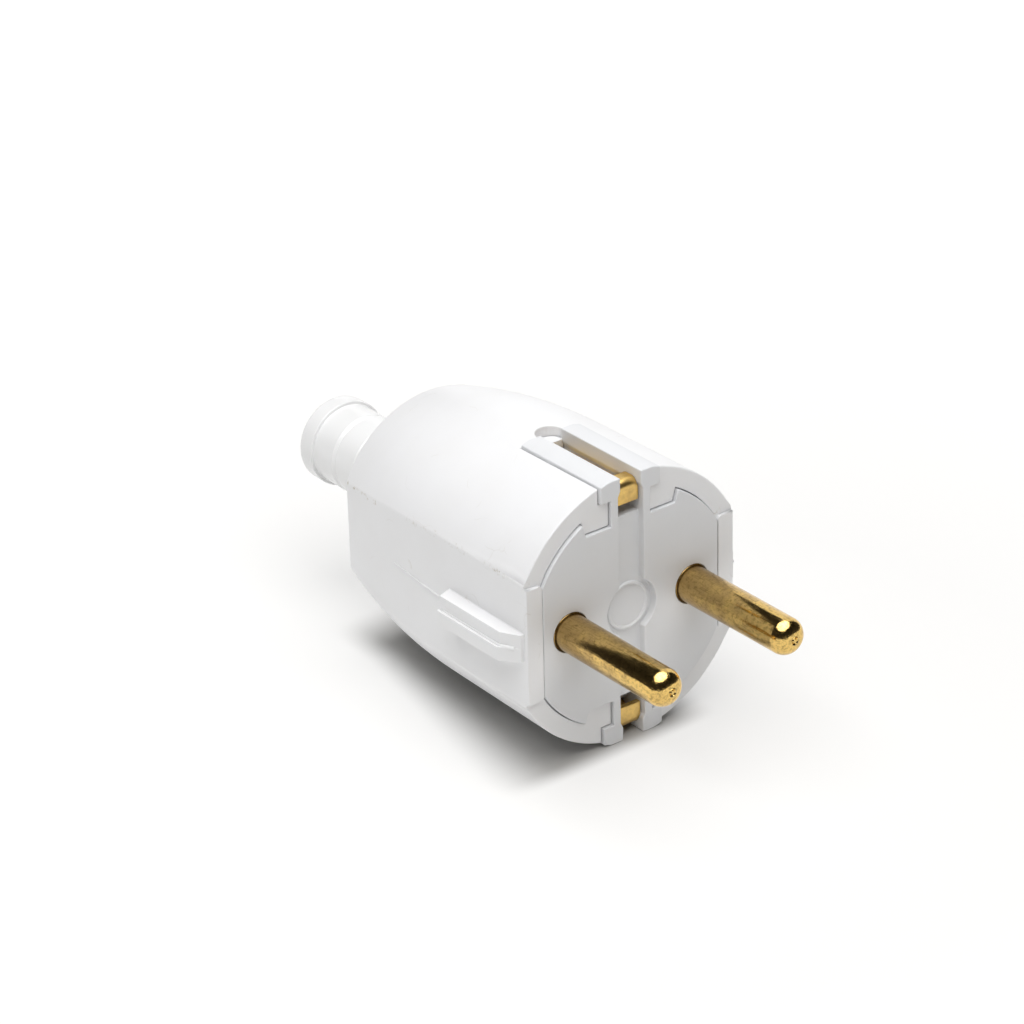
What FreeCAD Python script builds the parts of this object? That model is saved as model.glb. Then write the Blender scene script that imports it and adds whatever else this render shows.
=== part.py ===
import FreeCAD, Part
import os
import re

import Sketcher

# Rewirable two-pin plug with side earth contacts.
# Millimetres. The pins point to -Y, the cord leaves to +Y and +Z is up. The origin is the centre of the
# face that meets the socket, midway between the pins.

# Each size is a number, or a formula of other sizes.
SIZES = {
    # Pins
    "pin_radius": 2.4,
    "pin_length": 19.0,
    "pin_pitch": 19.0,
    "pin_tip_round": 1.9,
    "pin_gap": 0.25,
    "pin_gap_depth": 0.15,
    "knurl_radius": 2.8,
    "pin_seat": 4.0,
    "terminal_radius": 3.0,
    "terminal_end": 18.5,
    "wire_hole_radius": 1.5,
    "wire_hole_depth": 8.0,
    "terminal_screw_inset": 4.0,
    "terminal_screw_y": "terminal_end - terminal_screw_inset",
    "terminal_screw_radius": 1.5,
    "terminal_screw_length": 3.4,
    "terminal_screw_foot": 1.2,
    # Housing
    "front_radius": 18.15,
    "front_draft": 0.2,
    "ring_set": 0.45,
    "waist_radius": "front_radius - front_draft",
    "waist_y": 20.0,
    "rear_taper": 3.2,
    "end_radius": "waist_radius - rear_taper",
    "body_length": 40.6,
    "taper_length": "body_length - waist_y",
    "draft_lean": "atan(front_draft / (waist_y - ring_set))",
    "taper_lean": "atan(rear_taper / taper_length) - draft_lean",
    "taper_round": "sqrt(rear_taper ^ 2 + taper_length ^ 2) / (2 * sin(taper_lean))",
    "wall": 2.33,
    "flat_wall": 2.18,
    "rear_wall": 2.4,
    "fit_gap": 0.12,
    "flat_waist": "carrier_flat + fit_gap + flat_wall",
    "flat_front": "flat_waist + front_draft",
    "flat_inset": 1.25,
    "flat_end": "end_radius - flat_inset",
    "flat_taper": "flat_waist - flat_end",
    "flat_lean": "atan(flat_taper / taper_length) - draft_lean",
    "flat_round": "sqrt(flat_taper ^ 2 + taper_length ^ 2) / (2 * sin(flat_lean))",
    "border_round": 1.0,
    "end_round": 0.7,
    "band_inset": 0.45,
    "band_half": "sqrt(front_radius ^ 2 - flat_front ^ 2) - band_inset",
    "band_round": 0.5,
    # Guide rails on the flats
    "rail_half": 1.85,
    "rail_height": 2.05,
    "rail_out": "flat_front + rail_height",
    "rail_step": 0.3,
    "rail_start": 1.0,
    "rail_lip": 0.5,
    "rail_lead": 2.0,
    "rail_end": 14.9,
    "rail_slope": 1.0,
    "rail_root": 0.8,
    # Earth slots, the carrier's lugs beside them and the housing's tabs
    "slot_half": 1.93,
    "lug_out": 4.6,
    "lug_drop": 0.08,
    "lug_top": "front_radius - lug_drop",
    "lug_crest": 3.4,
    "lug_slope": 0.35,
    "lug_height": 2.62,
    "lug_head": "lug_top - lug_height",
    "lug_length": 15.3,
    "lug_reach": 0.35,
    "reach_rise": 0.15,
    "reach_start": "lug_head + reach_rise",
    "reach_slope": 0.7,
    "stem_out": 3.03,
    "tab_depth": 5.97,
    "tab_in": "lug_top - tab_depth",
    "tab_foot": 6.8,
    "tab_root": 7.4,
    "tab_rise": 1.9,
    "tab_root_z": "tab_in + tab_rise",
    "tab_top": "carrier_radius + wall / 3",
    "notch_gap": 0.1,
    "notch_y": "lug_length + notch_gap",
    # Contact carrier
    "carrier_radius": "waist_radius - wall - fit_gap",
    "boss_wall": 0.85,
    "boss_room": 0.3,
    "carrier_flat": "pin_pitch / 2 + terminal_radius + boss_wall + boss_room",
    "plate_depth": 7.0,
    "groove_depth": 1.0,
    "groove_rise": 0.3,
    "groove_end": "tab_in + groove_rise",
    "medal_radius": 3.8,
    "medal_ring": 3.2,
    "medal_ring_width": 0.4,
    "medal_ring_height": 0.3,
    "contact_pocket": 3.6,
    "post_radius": 4.3,
    "bridge_gap": 1.0,
    "bridge_y": "strap_back + bridge_gap",
    "bridge_half": 6.0,
    "bridge_hole": 4.6,
    "latch_gap": 0.18,
    "latch_drop": 1.47,
    "latch_top": "lug_top - latch_drop",
    "access_radius": 1.9,
    "tongue_half": 7.6,
    "tongue_low": 7.6,
    "tongue_top": 5.0,
    "tongue_gap": 1.2,
    "tongue_end": "body_length - rear_wall - collar_depth - tongue_gap",
    # Earth strap with its screw and washer
    "strap_gap": 0.23,
    "strap_half": "slot_half - strap_gap",
    "strap_thick": 0.8,
    "strap_depth": 2.57,
    "strap_top": "lug_top - strap_depth",
    "strap_back": 14.2,
    "nose_gap": 0.08,
    "nose_half": "slot_half - lug_reach - nose_gap",
    "nose_rise": 0.2,
    "nose_wide": "reach_start + nose_rise",
    "nose_slope": 0.4,
    "nose_y": 0.7,
    "nose_depth": 1.07,
    "nose_top": "lug_top - nose_depth",
    "nose_height": 3.0,
    "nose_low": "nose_top - nose_height",
    "nose_end": 2.9,
    "nose_round": 1.0,
    "bend_round": 0.9,
    "ramp_end": 5.2,
    "eye_radius": 3.8,
    "earth_screw_radius": 1.6,
    "earth_screw_length": 7.0,
    "earth_head_radius": 2.9,
    "earth_head_height": 1.8,
    "washer_radius": 3.4,
    "washer_thick": 0.6,
    # Cord clamp
    "cord_radius": 3.75,
    "clamp_inset": 4.4,
    "clamp_y": "tongue_end - clamp_inset",
    "clamp_pitch": 12.4,
    "clamp_half": 8.6,
    "clamp_width": 5.0,
    "clamp_height": 3.2,
    "clamp_seat": 2.0,
    "clamp_round": 2.2,
    "clamp_post_radius": 2.2,
    "clamp_screw_radius": 1.4,
    "clamp_screw_length": 7.5,
    "clamp_head_radius": 2.3,
    "clamp_head_height": 1.6,
    "screw_slack": 0.2,
    "slot_width": 0.7,
    "slot_depth": 0.7,
    # Bend sleeve
    "sleeve_bore": 4.0,
    "collar_radius": 7.0,
    "collar_depth": 1.6,
    "neck_radius": 5.5,
    "neck_length": 18.9,
    "ring_pitch": 4.5,
    "ring_half": 0.3,
    "ring_depth": 0.35,
    "flange_radius": 5.95,
    "flange_start": "body_length + neck_length",
    "flange_length": 2.7,
    "flange_round": 0.5,
    # Overshoot of cutting tools past the solid they cut
    "spare": 2.0,
}
RINGS = 3
SIDES = {"left": "-1", "right": "1"}
SIGNS = ("1", "-1")
UP = FreeCAD.Vector(0, 0, 1)
ALONG = FreeCAD.Rotation(FreeCAD.Vector(1, 0, 0), -90)
UPRIGHT = FreeCAD.Rotation()
LOCATION_TOLERANCE = 1e-4

doc = FreeCAD.newDocument("plug")
sheet = doc.addObject("Spreadsheet::Sheet", "sizes")
for row, alias in enumerate(SIZES, start=1):
    sheet.set(f"A{row}", alias)
    sheet.setAlias(f"B{row}", alias)
for alias, size in SIZES.items():
    sheet.set(alias, f"={size}")
doc.recompute()


def formula(words):
    """Turns size names into references to the sheet."""
    return re.sub(r"[a-z]\w*", lambda word: f"sizes.{word[0]}" if word[0] in SIZES else word[0], words)


def value(words):
    """The present value of a formula."""
    return float(sheet.evalExpression(formula(words)))


def bind(thing, sizes):
    """Binds properties of an object to formulas of the sheet."""
    for prop, words in sizes.items():
        thing.setExpression(prop, formula(words))
    return thing


def box(name, low, high):
    """A box between two corners."""
    thing = doc.addObject("Part::Box", name)
    spans = [f"({b}) - ({a})" for a, b in zip(low, high)]
    bind(thing, dict(zip(("Length", "Width", "Height"), spans)))
    return bind(thing, dict(zip(("Placement.Base.x", "Placement.Base.y", "Placement.Base.z"), low)))


def rod(name, radius, start, end, turn, **place):
    """A cylinder along Y (turn ALONG) or Z (turn UPRIGHT), from start to end."""
    thing = doc.addObject("Part::Cylinder", name)
    thing.Placement = FreeCAD.Placement(FreeCAD.Vector(), turn)
    axis = "y" if turn == ALONG else "z"
    bind(thing, {"Radius": radius, "Height": f"({end}) - ({start})", f"Placement.Base.{axis}": start})
    return bind(thing, {f"Placement.Base.{key}": words for key, words in place.items()})


def fuse(name, parts):
    """One solid from several that overlap."""
    thing = doc.addObject("Part::MultiFuse", name)
    thing.Shapes = parts
    thing.Refine = True
    return thing


def common(name, parts):
    """What several solids share."""
    thing = doc.addObject("Part::MultiCommon", name)
    thing.Shapes = parts
    return thing


def cut(name, base, tools):
    """A solid less several tools."""
    thing = doc.addObject("Part::Cut", name)
    thing.Base = base
    thing.Tool = fuse(f"{name}_tools", tools) if len(tools) > 1 else tools[0]
    return thing


def group(name, parts):
    """Like pieces in one node, as separate solids."""
    thing = doc.addObject("Part::Compound", name)
    thing.Links = parts
    return thing


def at(point, corner):
    """Whether a sketch point lies on a corner."""
    return abs(point.x - corner.x) + abs(point.y - corner.y) < LOCATION_TOLERANCE


def outline(body, plane, name, corners, arcs=None):
    """A closed sketch. Each corner is a pair of formulas, and arcs gives the radius of each round side
    with the sign of the side that its bulge is on."""
    arcs = arcs or {}
    sketch = body.newObject("Sketcher::SketchObject", name)
    support = [item for item in body.Origin.OriginFeatures if item.Role == plane][0]
    sketch.AttachmentSupport = [(support, "")]
    sketch.MapMode = "FlatFace"
    points = [FreeCAD.Vector(value(x), value(y), 0) for x, y in corners]
    count = len(points)
    ends = []
    for side, start in enumerate(points):
        finish = points[(side + 1) % count]
        curve = Part.LineSegment(start, finish)
        if side in arcs:
            radius, bulge = value(arcs[side][0]), arcs[side][1]
            half = (finish - start).Length / 2
            rise = radius - (radius ** 2 - half ** 2) ** 0.5
            across = (finish - start).cross(UP).normalize()
            curve = Part.Arc(start, (start + finish) / 2 + across * rise * bulge, finish)
        sketch.addGeometry(curve, False)
        flipped = not at(sketch.Geometry[side].StartPoint, start)
        ends.append((2, 1) if flipped else (1, 2))
    for side in range(count):
        after = (side + 1) % count
        sketch.addConstraint(Sketcher.Constraint("Coincident", side, ends[side][1], after, ends[after][0]))
    for side, corner in enumerate(corners):
        for kind, words in zip(("DistanceX", "DistanceY"), corner):
            rule = Sketcher.Constraint(kind, -1, 1, side, ends[side][0], value(words))
            hold(sketch, rule, f"{kind}{side}", words)
    for side, (words, bulge) in arcs.items():
        hold(sketch, Sketcher.Constraint("Radius", side, value(words)), f"Radius{side}", words)
    return sketch


def hold(sketch, rule, name, words):
    """Adds a dimension to a sketch and ties it to the sheet."""
    index = sketch.addConstraint(rule)
    sketch.renameConstraint(index, name)
    sketch.setExpression(f"Constraints.{name}", formula(words))


def lathe(name, corners, arcs=None):
    """A body turned about Y from a profile of (radius, y) corners."""
    body = doc.addObject("PartDesign::Body", name)
    profile = outline(body, "XY_Plane", f"{name}_profile", corners, arcs)
    turned = body.newObject("PartDesign::Revolution", f"{name}_turned")
    turned.Profile = profile
    turned.ReferenceAxis = (profile, ["V_Axis"])
    turned.Angle = 360
    doc.recompute()
    return body


def prism(name, plane, corners, length, arcs=None, middle=False, back=False):
    """A body padded from an outline on one of its origin planes."""
    body = doc.addObject("PartDesign::Body", name)
    pad = body.newObject("PartDesign::Pad", f"{name}_pad")
    pad.Profile = outline(body, plane, f"{name}_outline", corners, arcs)
    pad.Midplane = middle
    pad.Reversed = back
    bind(pad, {"Length": length})
    doc.recompute()
    return body


def round_edges(body, radius, wanted):
    """Rounds the edges of a body's last feature that the test picks."""
    last = body.Tip
    names = [f"Edge{n}" for n, edge in enumerate(last.Shape.Edges, start=1) if wanted(edge)]
    rounded = body.newObject("PartDesign::Fillet", f"{body.Name}_round{len(body.Group)}")
    rounded.Base = (last, names)
    bind(rounded, {"Radius": radius})
    doc.recompute()
    return body


def soften(name, base, radius, wanted):
    """Rounds the edges of a primitive or boolean that the test picks."""
    doc.recompute()
    rounded = doc.addObject("Part::Fillet", name)
    rounded.Base = base
    size = value(radius)
    rounded.Edges = [(n, size, size) for n, edge in enumerate(base.Shape.Edges, start=1) if wanted(edge)]
    doc.recompute()
    return rounded


def near(number, words):
    """Whether a coordinate equals a formula."""
    return abs(number - value(words)) < LOCATION_TOLERANCE


def circle_at(y, radius=None):
    """Picks round edges about Y at one depth."""
    def wanted(edge):
        if not hasattr(edge.Curve, "Radius") or not near(edge.CenterOfMass.y, y):
            return False
        return radius is None or near(edge.Curve.Radius, radius)
    return wanted


def across_at(y, z):
    """Picks straight edges along X at one place of the side view."""
    def wanted(edge):
        middle = edge.CenterOfMass
        straight = edge.BoundBox.XLength > edge.BoundBox.YLength + edge.BoundBox.ZLength
        return straight and near(middle.y, y) and near(abs(middle.z), z)
    return wanted


def both_ways(corners):
    """Closes a right half outline with its mirror image about the Y axis of the sketch."""
    return corners + [(f"-({x})", y) for x, y in reversed(corners)]


def housing_round():
    """The moulding's outer form: nearly parallel to the waist, then pulled in by arcs that start in line with
    the sides before them, with two flats."""
    turned = lathe("outer_round", [
        ("0", "ring_set"),
        ("front_radius", "ring_set"),
        ("waist_radius", "waist_y"),
        ("end_radius", "body_length"),
        ("0", "body_length"),
    ], {2: ("taper_round", 1)})
    right = [
        ("flat_front", "-spare"),
        ("flat_front", "ring_set"),
        ("flat_waist", "waist_y"),
        ("flat_end", "body_length"),
        ("flat_end", "body_length + spare"),
    ]
    flats = prism("outer_flats", "XY_Plane", both_ways(right), "4 * front_radius",
                  {2: ("flat_round", 1), 6: ("flat_round", 1)}, middle=True)
    form = common("outer_form", [turned, flats])
    along = lambda edge: edge.BoundBox.YLength > edge.BoundBox.XLength + edge.BoundBox.ZLength
    borders = soften("outer_borders", form, "border_round", along)
    rear = lambda edge: near(edge.BoundBox.YMin, "body_length") and near(edge.BoundBox.YMax, "body_length")
    return soften("outer_soft", borders, "end_round", rear)


def housing_cavity():
    """The room inside: it fits the carrier in front and follows the outer form behind."""
    depth = "body_length - rear_wall"
    turned = lathe("cavity_round", [
        ("0", "-spare"),
        ("carrier_radius + fit_gap", "-spare"),
        ("carrier_radius + fit_gap", "waist_y"),
        ("end_radius - wall", depth),
        ("0", depth),
    ])
    right = [
        ("carrier_flat + fit_gap", "-2 * spare"),
        ("carrier_flat + fit_gap", "waist_y"),
        ("flat_end - wall", depth),
        ("flat_end - wall", f"{depth} + spare"),
    ]
    flats = prism("cavity_flats", "XY_Plane", both_ways(right), "4 * front_radius", middle=True)
    return common("cavity_form", [turned, flats])


def rail_halves(side, sign):
    """One guide rail: two halves of the mould that meet in a step at mid height."""
    halves = []
    for name, out, back in (("upper", "rail_out", False), ("lower", "rail_out + rail_step", True)):
        plan = [
            (f"{sign} * (flat_waist - rail_root)", "rail_start"),
            (f"{sign} * (flat_front + rail_lip)", "rail_start"),
            (f"{sign} * ({out})", "rail_start + rail_lead"),
            (f"{sign} * ({out})", "rail_end"),
            (f"{sign} * (flat_waist - rail_root)", "rail_end + rail_slope"),
        ]
        halves.append(prism(f"{side}_rail_{name}", "XY_Plane", plan, "rail_half", back=back))
    return halves


def band_end(side, sign):
    """The step of the front ring beside one flat, level with the carrier, its inner corners rounded."""
    inner, outer = "carrier_flat + fit_gap", "flat_front"
    low_x, high_x = (inner, outer) if sign == "1" else (f"-({outer})", f"-({inner})")
    block = box(f"{side}_band", (low_x, "0", "-band_half"), (high_x, "ring_set", "band_half"))
    edge_x = f"{sign} * ({inner})"
    inside = lambda edge: near(edge.BoundBox.XMin, edge_x) and near(edge.BoundBox.XMax, edge_x) \
        and near(abs(edge.CenterOfMass.z), "band_half")
    return soften(f"{side}_band_soft", block, "band_round", inside)


def quarters(name, corners, length):
    """A bar along Y in each quarter of the front view, from the outline of the upper right one."""
    bars = []
    for number, (across, up) in enumerate((a, u) for a in SIGNS for u in SIGNS):
        placed = [(f"{across} * ({x})", f"{up} * ({z})") for x, z in corners]
        bars.append(prism(f"{name}_{number}", "XZ_Plane", placed, length, back=True))
    return bars


def quarter_tabs(name, gap, length):
    """The housing's inward tabs beside the earth slots, or with a gap the pockets that clear them."""
    inner = f"stem_out + fit_gap - ({gap})"
    root = f"tab_root + ({gap})"
    corners = [
        (inner, f"tab_in - ({gap})"),
        (f"tab_foot + ({gap})", f"tab_in - ({gap})"),
        (root, "tab_root_z"),
        (root, "tab_top"),
        (inner, "tab_top"),
    ]
    return quarters(name, corners, length)


def slot_tools(number, up):
    """What one earth slot takes out of the housing: a T for the lugs and a notch for the latch."""
    low, high = ("lug_head - fit_gap", "lug_top + spare")
    deep = "carrier_radius - wall"
    head_z = (low, high) if up == "1" else (f"-({high})", f"-({low})")
    stem_z = (deep, high) if up == "1" else (f"-({high})", f"-({deep})")
    end = "lug_length + fit_gap"
    head, stem = "lug_out + fit_gap", "stem_out + fit_gap"
    return [
        box(f"slot_head_{number}", (f"-({head})", "-spare", head_z[0]), (head, end, head_z[1])),
        box(f"slot_stem_{number}", (f"-({stem})", "-spare", stem_z[0]), (stem, end, stem_z[1])),
        box(f"slot_notch_{number}", ("-slot_half", "0", stem_z[0]), ("slot_half", "notch_y", stem_z[1])),
        rod(f"slot_end_{number}", "slot_half", stem_z[0], stem_z[1], UPRIGHT, y="notch_y"),
    ]


def make_housing():
    """The outer moulding with its tabs, rails, band ends, earth slots and neck hole."""
    shell = cut("housing_shell", housing_round(), [housing_cavity()])
    tabs = quarter_tabs("tab", "0", "lug_length - ring_set")
    for tab in tabs:
        bind(tab, {"Placement.Base.y": "ring_set"})
    parts = [shell] + tabs
    for side, sign in SIDES.items():
        parts += rail_halves(side, sign)
        parts.append(band_end(side, sign))
    tools = [tool for number, up in enumerate(SIGNS) for tool in slot_tools(number, up)]
    tools.append(rod("neck_hole", "neck_radius + fit_gap", "body_length - rear_wall - spare",
                     "body_length + spare", ALONG))
    return cut("housing", fuse("housing_blank", parts), tools)


def carrier_plate():
    """The front plate: a disc with two flats, cleared for the housing's tabs."""
    disc = rod("plate_disc", "carrier_radius", "0", "plate_depth", ALONG)
    flats = box("plate_flats", ("-carrier_flat", "-spare", "-2 * carrier_radius"),
                ("carrier_flat", "plate_depth + spare", "2 * carrier_radius"))
    plate = common("plate_form", [disc, flats])
    return cut("plate_cleared", plate, quarter_tabs("tab_pocket", "fit_gap", "plate_depth + spare"))


def carrier_lugs():
    """Four T shaped lugs that slide into the housing beside the earth slots."""
    profile = [
        ("slot_half", "tab_in - fit_gap"),
        ("stem_out", "tab_in - fit_gap"),
        ("stem_out", "lug_head"),
        ("lug_out", "lug_head"),
        ("lug_out", "lug_top - lug_slope"),
        ("lug_crest", "lug_top"),
        ("slot_half - lug_reach", "lug_top"),
        ("slot_half - lug_reach", "reach_start + reach_slope"),
        ("slot_half", "reach_start"),
    ]
    return quarters("lug", profile, "lug_length")


def carrier_rear():
    """What stands behind the plate: rib, earth post, terminal bosses, latch bridge and cord tongue."""
    back = "strap_back - strap_thick"
    under = "strap_top - strap_thick"
    latch = "slot_half - latch_gap"
    parts = [
        box("strap_rib", ("-stem_out", "groove_depth + spare", f"-({under})"), ("stem_out", back, under)),
        rod("earth_post", "post_radius", "groove_depth + spare", back, ALONG),
        box("bridge", ("-pin_pitch / 2", "bridge_y", "-bridge_half"),
            ("pin_pitch / 2", "bridge_y + spare", "bridge_half")),
        common("latches", [
            rod("latch_round", latch, "-latch_top", "latch_top", UPRIGHT, y="notch_y"),
            box("latch_front", (f"-({latch})", "bridge_y", "-latch_top"),
                (latch, "notch_y + slot_half", "latch_top")),
        ]),
        box("tongue", ("-tongue_half", "bridge_y", "-tongue_low"),
            ("tongue_half", "tongue_end", "-tongue_top")),
        box("saddle", ("-clamp_pitch / 2", "clamp_y - clamp_width / 4", "-tongue_low"),
            ("clamp_pitch / 2", "clamp_y + clamp_width / 4", "-clamp_seat")),
    ]
    for side, sign in SIDES.items():
        parts.append(rod(f"{side}_boss", "terminal_radius + boss_wall", "pin_seat", "terminal_end", ALONG,
                         x=f"{sign} * pin_pitch / 2"))
        parts.append(rod(f"{side}_clamp_post", "clamp_post_radius", "-tongue_low", "clamp_seat", UPRIGHT,
                         x=f"{sign} * clamp_pitch / 2", y="clamp_y"))
    return parts


def carrier_tools():
    """What is taken out of the carrier: face groove and medal, contact slots, pin holes and screw holes."""
    back = "strap_back - strap_thick"
    under = "strap_top - strap_thick"
    top = "reach_start"
    tools = [
        box("face_groove", ("-slot_half", "-spare", "-groove_end"),
            ("slot_half", "groove_depth", "groove_end")),
        rod("face_medal", "medal_radius", "-spare", "groove_depth", ALONG),
        rod("earth_hole", "earth_screw_radius", "strap_back + washer_thick - earth_screw_length", back,
            ALONG),
        rod("bridge_way", "bridge_hole", "bridge_y - spare / 2", "notch_y + slot_half + spare", ALONG),
        rod("cord_way", "cord_radius", "bridge_y", "tongue_end + spare", ALONG),
    ]
    for number, up in enumerate(SIGNS):
        floor = (under, top) if up == "1" else (f"-({top})", f"-({under})")
        deep = ("groove_end", top) if up == "1" else (f"-({top})", "-groove_end")
        for name, span, end in (("strap_way", floor, back), ("nose_way", deep, "contact_pocket")):
            low, high = ("-slot_half", "-spare", span[0]), ("slot_half", end, span[1])
            tools.append(box(f"{name}_{number}", low, high))
    for side, sign in SIDES.items():
        place = f"{sign} * pin_pitch / 2"
        tools += [
            rod(f"{side}_pin_mouth", "pin_radius + pin_gap", "-spare", "pin_gap_depth", ALONG, x=place),
            rod(f"{side}_pin_hole", "knurl_radius", "pin_gap_depth", "pin_seat", ALONG, x=place),
            rod(f"{side}_pin_room", "terminal_radius", "pin_seat", "terminal_end + spare", ALONG, x=place),
            rod(f"{side}_access", "access_radius", "0", "terminal_radius + boss_wall + spare", UPRIGHT,
                x=place, y="terminal_screw_y"),
            rod(f"{side}_clamp_hole", "clamp_screw_radius", "clamp_seat + clamp_height - clamp_screw_length",
                "clamp_seat", UPRIGHT, x=f"{sign} * clamp_pitch / 2", y="clamp_y"),
        ]
    return tools


def medal_ring():
    """The plain raised ring on the floor of the face's medal."""
    start = "groove_depth - medal_ring_height"
    disc = rod("medal_disc", "medal_ring", start, "groove_depth + spare / 2", ALONG)
    inside = rod("medal_inside", "medal_ring - medal_ring_width", f"{start} - spare", "groove_depth", ALONG)
    return cut("medal_rim", disc, [inside])


def make_contact_carrier():
    """The inner moulding that holds the pins, the earth strap and the cord clamp."""
    blank = fuse("carrier_blank", [carrier_plate()] + carrier_lugs() + carrier_rear())
    return fuse("contact_carrier", [cut("carrier_open", blank, carrier_tools()), medal_ring()])


def make_pin(side, sign):
    """One turned pin: round tip, plain shank, pressed stretch and drilled terminal."""
    drilled = "terminal_end - wire_hole_depth"
    body = lathe(f"{side}_pin_turned", [
        ("0", "-pin_length"),
        ("pin_radius", "-pin_length"),
        ("pin_radius", "pin_gap_depth"),
        ("knurl_radius", "pin_gap_depth"),
        ("knurl_radius", "pin_seat"),
        ("terminal_radius", "pin_seat"),
        ("terminal_radius", "terminal_end"),
        ("wire_hole_radius", "terminal_end"),
        ("wire_hole_radius", drilled),
        ("0", drilled),
    ])
    round_edges(body, "pin_tip_round", circle_at("-pin_length"))
    screw_way = rod(f"{side}_screw_way", "terminal_screw_radius", "0", "terminal_radius + spare", UPRIGHT,
                    y="terminal_screw_y")
    pin = cut(f"{side}_pin", body, [screw_way])
    return bind(pin, {"Placement.Base.x": f"{sign} * pin_pitch / 2"})


def driver_slot(name, top, radius, **place):
    """The slot across the top of an upright screw."""
    x, y = place["x"], place["y"]
    return box(name, (f"{x} - ({radius}) - spare", f"{y} - slot_width / 2", f"{top} - slot_depth"),
               (f"{x} + ({radius}) + spare", f"{y} + slot_width / 2", f"{top} + spare"))


def make_terminal_screws():
    """One grub screw in each pin, pressing on the wire."""
    screws = []
    for side, sign in SIDES.items():
        place = {"x": f"{sign} * pin_pitch / 2", "y": "terminal_screw_y"}
        top = "terminal_screw_foot + terminal_screw_length"
        shank = rod(f"{side}_grub", "terminal_screw_radius", "terminal_screw_foot", top, UPRIGHT, **place)
        slot = driver_slot(f"{side}_grub_slot", top, "terminal_screw_radius", **place)
        screws.append(cut(f"{side}_terminal_screw", shank, [slot]))
    return group("terminal_screws", screws)


def make_earth_strap():
    """One bent brass strip: a sprung contact in each earth slot, joined behind the carrier by an eye."""
    shift = "strap_thick * tan(atan((nose_top - strap_top) / (ramp_end - nose_end)) / 2)"
    outer = [
        ("nose_y", "nose_low"),
        ("nose_y", "nose_top"),
        ("nose_end", "nose_top"),
        ("ramp_end", "strap_top"),
        ("strap_back", "strap_top"),
    ]
    inner = [
        ("strap_back - strap_thick", "strap_top - strap_thick"),
        (f"ramp_end - {shift}", "strap_top - strap_thick"),
        (f"nose_end - {shift}", "nose_top - strap_thick"),
        ("nose_y + strap_thick", "nose_top - strap_thick"),
        ("nose_y + strap_thick", "nose_low"),
    ]
    mirror = lambda run: [(y, f"-({z})") for y, z in reversed(run)]
    loop = outer + mirror(outer) + mirror(inner) + inner
    strip = prism("strip", "YZ_Plane", loop, "2 * strap_half", middle=True)
    for y, z in outer[1:]:
        round_edges(strip, "nose_round" if y == "nose_y" else "bend_round", across_at(y, z))
    front = "strap_back - strap_thick"
    eye = rod("eye", "eye_radius", front, "strap_back", ALONG)
    hole = rod("eye_hole", "earth_screw_radius + screw_slack", f"{front} - spare", "strap_back + spare",
               ALONG)
    corners = [
        ("strap_half + spare", "nose_wide"),
        ("strap_half", "nose_wide"),
        ("nose_half", "nose_wide + nose_slope"),
        ("nose_half", "nose_top + spare"),
        ("strap_half + spare", "nose_top + spare"),
    ]
    trims = quarters("nose_trim", corners, "ramp_end")
    return cut("earth_strap", fuse("strap_blank", [strip, eye]), [hole] + trims)


def make_earth_washer():
    """The plain washer under the earth screw's head."""
    disc = rod("washer_disc", "washer_radius", "strap_back", "strap_back + washer_thick", ALONG)
    hole = rod("washer_hole", "earth_screw_radius + screw_slack", "strap_back - spare",
               "strap_back + washer_thick + spare", ALONG)
    return cut("earth_washer", disc, [hole])


def make_earth_screw():
    """The slotted screw that holds the strap's eye and the earth wire."""
    seat = "strap_back + washer_thick"
    top = "strap_back + washer_thick + earth_head_height"
    shank = rod("earth_shank", "earth_screw_radius", f"{seat} - earth_screw_length", seat, ALONG)
    head = rod("earth_head", "earth_head_radius", seat, top, ALONG)
    slot = box("earth_slot", ("-earth_head_radius - spare", f"{top} - slot_depth", "-slot_width / 2"),
               ("earth_head_radius + spare", f"{top} + spare", "slot_width / 2"))
    return cut("earth_screw", fuse("earth_screw_blank", [shank, head]), [slot])


def make_cord_clamp():
    """The bar that presses the cord onto the saddle, arched over the cord."""
    block = box("clamp_block", ("-clamp_half", "clamp_y - clamp_width / 2", "clamp_seat"),
                ("clamp_half", "clamp_y + clamp_width / 2", "clamp_seat + clamp_height"))
    upright = lambda edge: near(edge.BoundBox.ZLength, "clamp_height")
    bar = soften("clamp_bar", block, "clamp_round", upright)
    tools = [rod("clamp_arch", "cord_radius", "clamp_y - clamp_width", "clamp_y + clamp_width", ALONG)]
    for side, sign in SIDES.items():
        tools.append(rod(f"{side}_clamp_way", "clamp_screw_radius + screw_slack", "clamp_seat - spare",
                         "clamp_seat + clamp_height + spare", UPRIGHT,
                         x=f"{sign} * clamp_pitch / 2", y="clamp_y"))
    return cut("cord_clamp", bar, tools)


def make_cord_clamp_screws():
    """Two slotted screws that pull the clamp bar down."""
    screws = []
    seat = "clamp_seat + clamp_height"
    top = "clamp_seat + clamp_height + clamp_head_height"
    for side, sign in SIDES.items():
        place = {"x": f"{sign} * clamp_pitch / 2", "y": "clamp_y"}
        shank = rod(f"{side}_clamp_shank", "clamp_screw_radius", f"{seat} - clamp_screw_length", seat,
                    UPRIGHT, **place)
        head = rod(f"{side}_clamp_head", "clamp_head_radius", seat, top, UPRIGHT, **place)
        slot = driver_slot(f"{side}_clamp_slot", top, "clamp_head_radius", **place)
        screws.append(cut(f"{side}_clamp_screw", fuse(f"{side}_clamp_screw_blank", [shank, head]), [slot]))
    return group("cord_clamp_screws", screws)


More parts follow.
